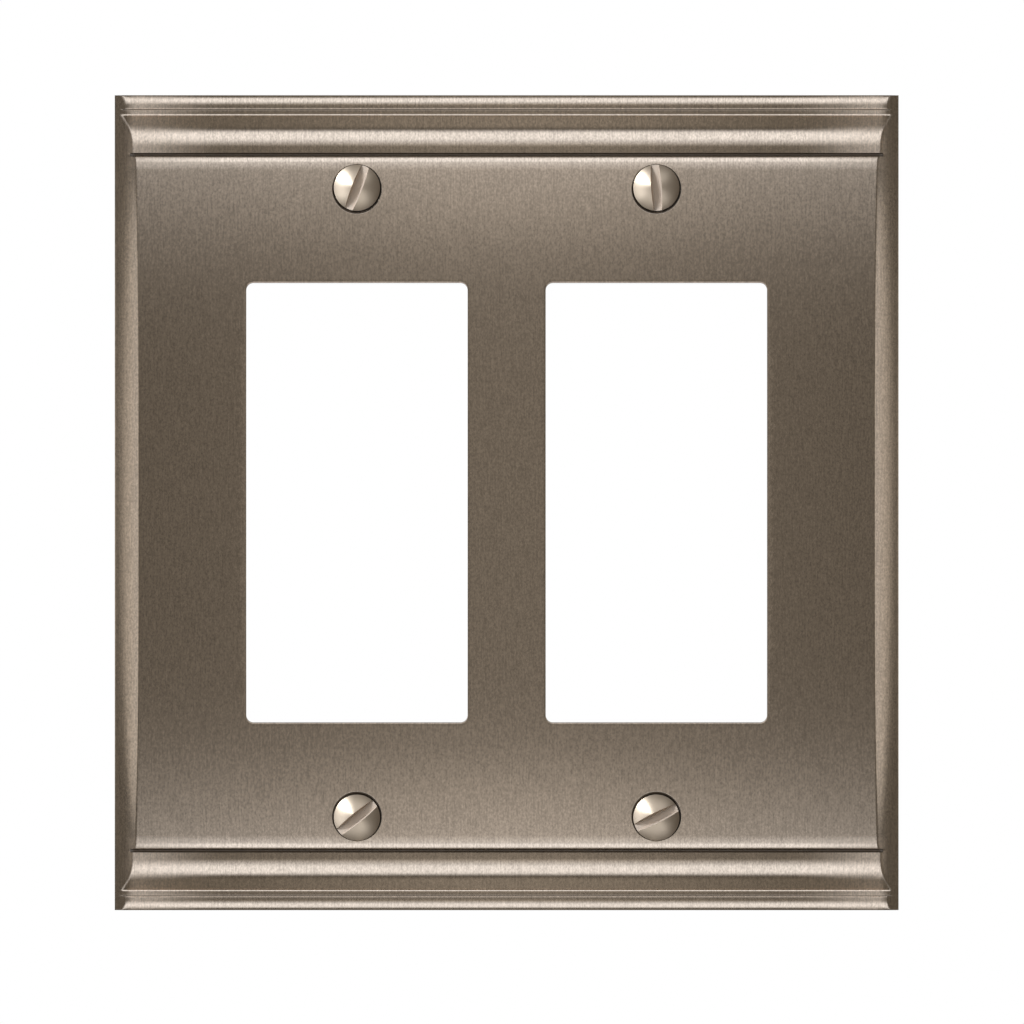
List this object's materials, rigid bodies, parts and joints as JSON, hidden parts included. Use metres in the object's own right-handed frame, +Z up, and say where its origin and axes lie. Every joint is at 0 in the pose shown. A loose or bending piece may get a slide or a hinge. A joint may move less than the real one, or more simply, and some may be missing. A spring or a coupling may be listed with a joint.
{
  "type": "two-gang cover plate",
  "caption": "Brushed nickel wall plate with two tall rectangular device openings, moulded top and bottom edges, coved sides and slotted oval-head screws.",
  "frame": {"origin": "centre of the plate's back face, in the plane of the wall", "axes": "+X to the right and +Z up as installed; the front faces -Y and +Y goes into the wall"},
  "size_m": [0.1206, 0.0141, 0.1254],
  "materials": {
    "satin_nickel": "satin nickel plate, brushed up and down",
    "screw_nickel": "satin nickel plate, tumbled smooth"
  },
  "bodies": {
    "plate": {"cover_plate": "satin_nickel"},
    "screw_upper_left": {"screw_upper_left": "screw_nickel"},
    "screw_upper_right": {"screw_upper_right": "screw_nickel"},
    "screw_lower_left": {"screw_lower_left": "screw_nickel"},
    "screw_lower_right": {"screw_lower_right": "screw_nickel"}
  },
  "joints": [
    {"name": "back_out_upper_left", "type": "slide", "parent": "plate", "child": "screw_upper_left", "axis": [0, -1, 0], "range_m": [0, 0.014]},
    {"name": "back_out_upper_right", "type": "slide", "parent": "plate", "child": "screw_upper_right", "axis": [0, -1, 0], "range_m": [0, 0.014]},
    {"name": "back_out_lower_left", "type": "slide", "parent": "plate", "child": "screw_lower_left", "axis": [0, -1, 0], "range_m": [0, 0.014]},
    {"name": "back_out_lower_right", "type": "slide", "parent": "plate", "child": "screw_lower_right", "axis": [0, -1, 0], "range_m": [0, 0.014]}
  ]
}
